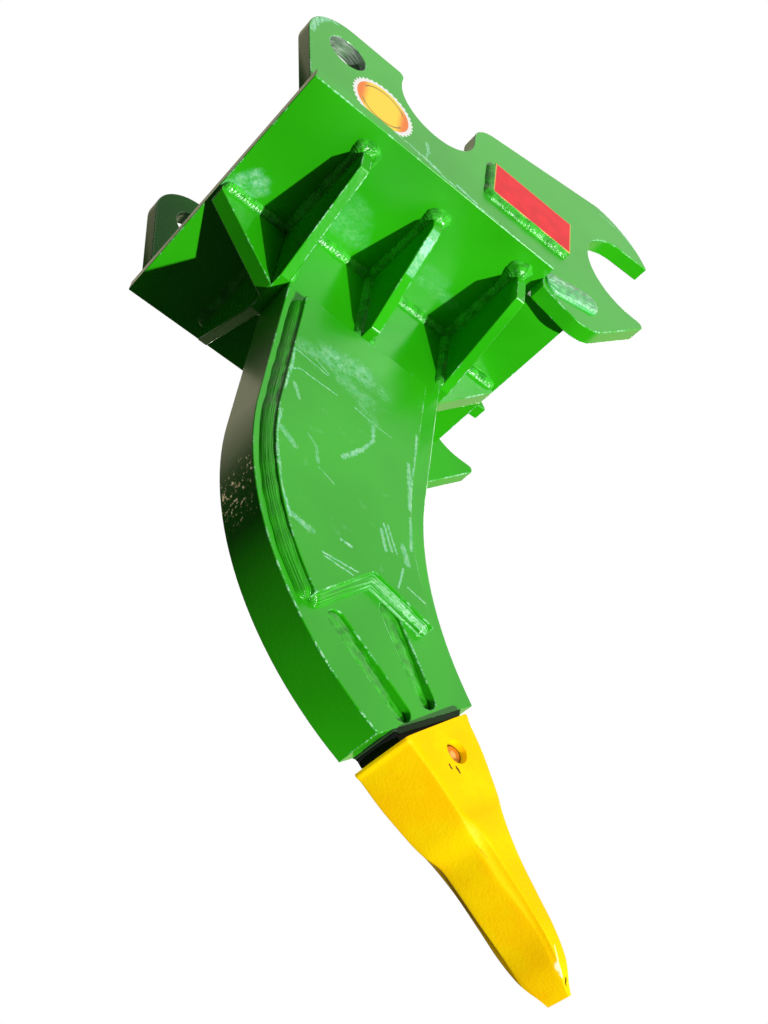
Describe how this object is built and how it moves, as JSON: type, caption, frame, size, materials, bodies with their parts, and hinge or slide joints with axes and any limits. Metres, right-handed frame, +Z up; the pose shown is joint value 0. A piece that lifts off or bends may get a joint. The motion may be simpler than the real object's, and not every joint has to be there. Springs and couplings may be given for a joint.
{
  "type": "ripper shank tooth",
  "caption": "Single-shank excavator ripper: hook-on head with gusseted base plate, curved shank with cheek plates and a pinned yellow cast tooth.",
  "frame": {"origin": "on the axis of the eye bore, midway between the two ears", "axes": "+X towards the hook mouths and the tooth, +Y along the eye axis to the left, +Z up from the base plate to the ears"},
  "size_m": [0.6604, 0.425, 1.2171],
  "materials": {
    "green_paint": "glossy green paint, scratched and chipped",
    "weld_paint": "green paint over weld beads",
    "yellow_tooth": "satin yellow paint over a rough casting",
    "black_nose": "dull black",
    "pin_metal": "yellow-passivated steel",
    "ring_metal": "dark spring steel",
    "red_plate": "bare red paint"
  },
  "bodies": {
    "root": {"base_plate": "green_paint", "right_ear": "green_paint", "left_ear": "green_paint", "shank": "green_paint", "right_cheek_plate": "green_paint", "left_cheek_plate": "green_paint", "rear_cross_gusset": "green_paint", "front_cross_gusset": "green_paint", "right_side_gusset": "green_paint", "left_side_gusset": "green_paint", "rear_rib": "green_paint", "front_rib": "green_paint", "ear_welds": "weld_paint", "base_welds": "weld_paint", "gusset_welds": "weld_paint", "right_cheek_weld": "weld_paint", "left_cheek_weld": "weld_paint", "plug_welds": "weld_paint", "nose_weld": "weld_paint", "nameplate_weld": "weld_paint", "jaw_weld_pads": "weld_paint", "nose_adapter": "black_nose", "tooth": "yellow_tooth", "tooth_pin": "pin_metal", "pin_retainer": "ring_metal", "nameplate": "red_plate"}
  },
  "joints": []
}
